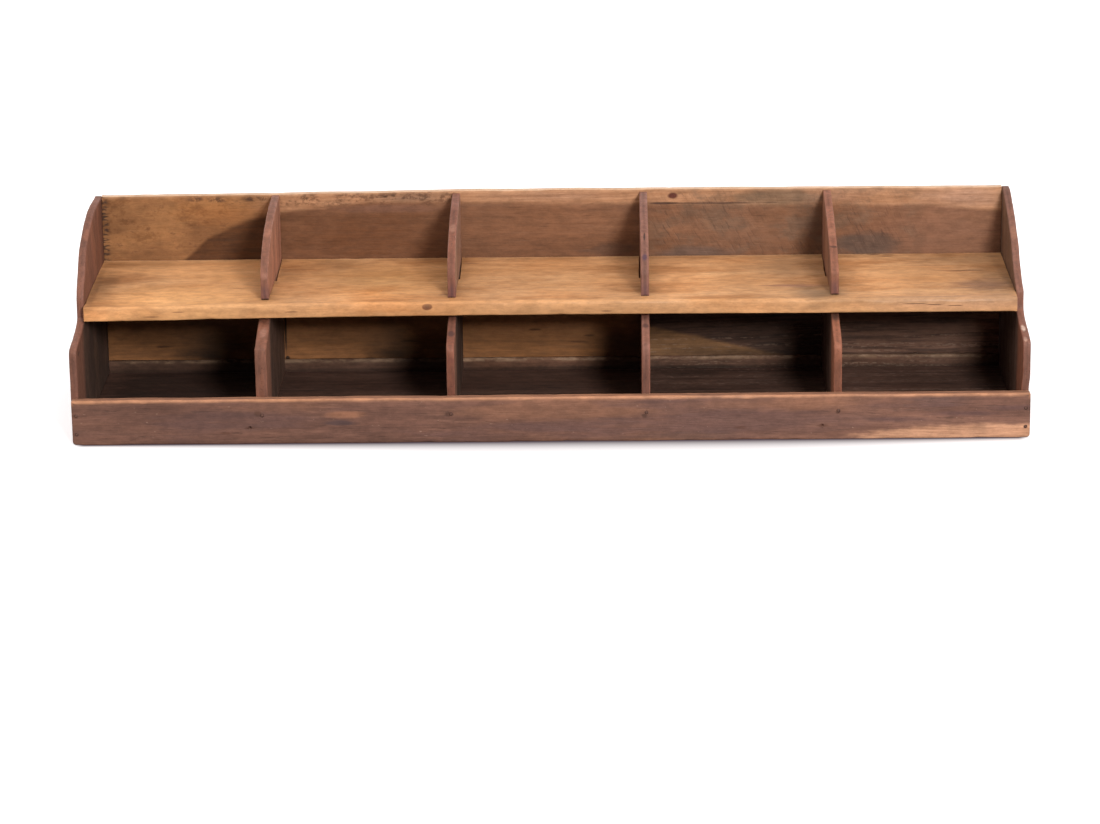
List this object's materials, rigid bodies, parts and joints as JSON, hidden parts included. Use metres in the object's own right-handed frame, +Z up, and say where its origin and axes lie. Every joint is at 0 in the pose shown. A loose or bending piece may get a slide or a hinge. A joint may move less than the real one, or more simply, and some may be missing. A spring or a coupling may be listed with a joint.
{
  "type": "pigeonhole mail sorter",
  "caption": "Desk-top letter rack of nailed reclaimed hardwood: a set-back upper tier of open pigeonholes on a thick shelf, over a lower tier behind a front rail.",
  "frame": {"origin": "centre of the footprint, on the surface that the rack stands on", "axes": "+X along the width to the viewer's right, +Y from the front rail to the back board, +Z up"},
  "size_m": [1, 0.262, 0.208],
  "materials": {
    "end_board_wood": "worn, oiled, reddish brown",
    "divider_wood": "worn, oiled, reddish brown",
    "back_wood": "rough sawn, brown heartwood with paler sapwood",
    "slat_wood": "dusty, grey brown",
    "shelf_wood": "worn smooth, honey brown",
    "floor_wood": "dark, dusty",
    "rail_wood": "oiled, dark mauve brown",
    "nail_iron": "dull, rusted dark"
  },
  "bodies": {
    "root": {"left_side_panel": "end_board_wood", "right_side_panel": "end_board_wood", "back_board_upper": "back_wood", "back_board_lower": "slat_wood", "mid_shelf": "shelf_wood", "bottom_board": "floor_wood", "front_rail": "rail_wood", "divider_1": "divider_wood", "divider_2": "divider_wood", "divider_3": "divider_wood", "divider_4": "divider_wood", "rail_nail_left_1": "nail_iron", "rail_nail_left_2": "nail_iron", "side_shelf_nail_left_1": "nail_iron", "side_shelf_nail_left_2": "nail_iron", "side_floor_nail_left_1": "nail_iron", "side_floor_nail_left_2": "nail_iron", "side_back_nail_left_1": "nail_iron", "side_back_nail_left_2": "nail_iron", "side_slat_nail_left": "nail_iron", "rail_nail_right_1": "nail_iron", "rail_nail_right_2": "nail_iron", "side_shelf_nail_right_1": "nail_iron", "side_shelf_nail_right_2": "nail_iron", "side_floor_nail_right_1": "nail_iron", "side_floor_nail_right_2": "nail_iron", "side_back_nail_right_1": "nail_iron", "side_back_nail_right_2": "nail_iron", "side_slat_nail_right": "nail_iron", "rail_nail_1": "nail_iron", "back_divider_nail_1_1": "nail_iron", "back_divider_nail_1_2": "nail_iron", "slat_divider_nail_1": "nail_iron", "floor_divider_nail_1_1": "nail_iron", "floor_divider_nail_1_2": "nail_iron", "rail_nail_2": "nail_iron", "back_divider_nail_2_1": "nail_iron", "back_divider_nail_2_2": "nail_iron", "slat_divider_nail_2": "nail_iron", "floor_divider_nail_2_1": "nail_iron", "floor_divider_nail_2_2": "nail_iron", "rail_nail_3": "nail_iron", "back_divider_nail_3_1": "nail_iron", "back_divider_nail_3_2": "nail_iron", "slat_divider_nail_3": "nail_iron", "floor_divider_nail_3_1": "nail_iron", "floor_divider_nail_3_2": "nail_iron", "rail_nail_4": "nail_iron", "back_divider_nail_4_1": "nail_iron", "back_divider_nail_4_2": "nail_iron", "slat_divider_nail_4": "nail_iron", "floor_divider_nail_4_1": "nail_iron", "floor_divider_nail_4_2": "nail_iron", "back_shelf_nail_1": "nail_iron", "back_shelf_nail_2": "nail_iron", "back_shelf_nail_3": "nail_iron", "back_shelf_nail_4": "nail_iron", "back_shelf_nail_5": "nail_iron"}
  },
  "joints": []
}
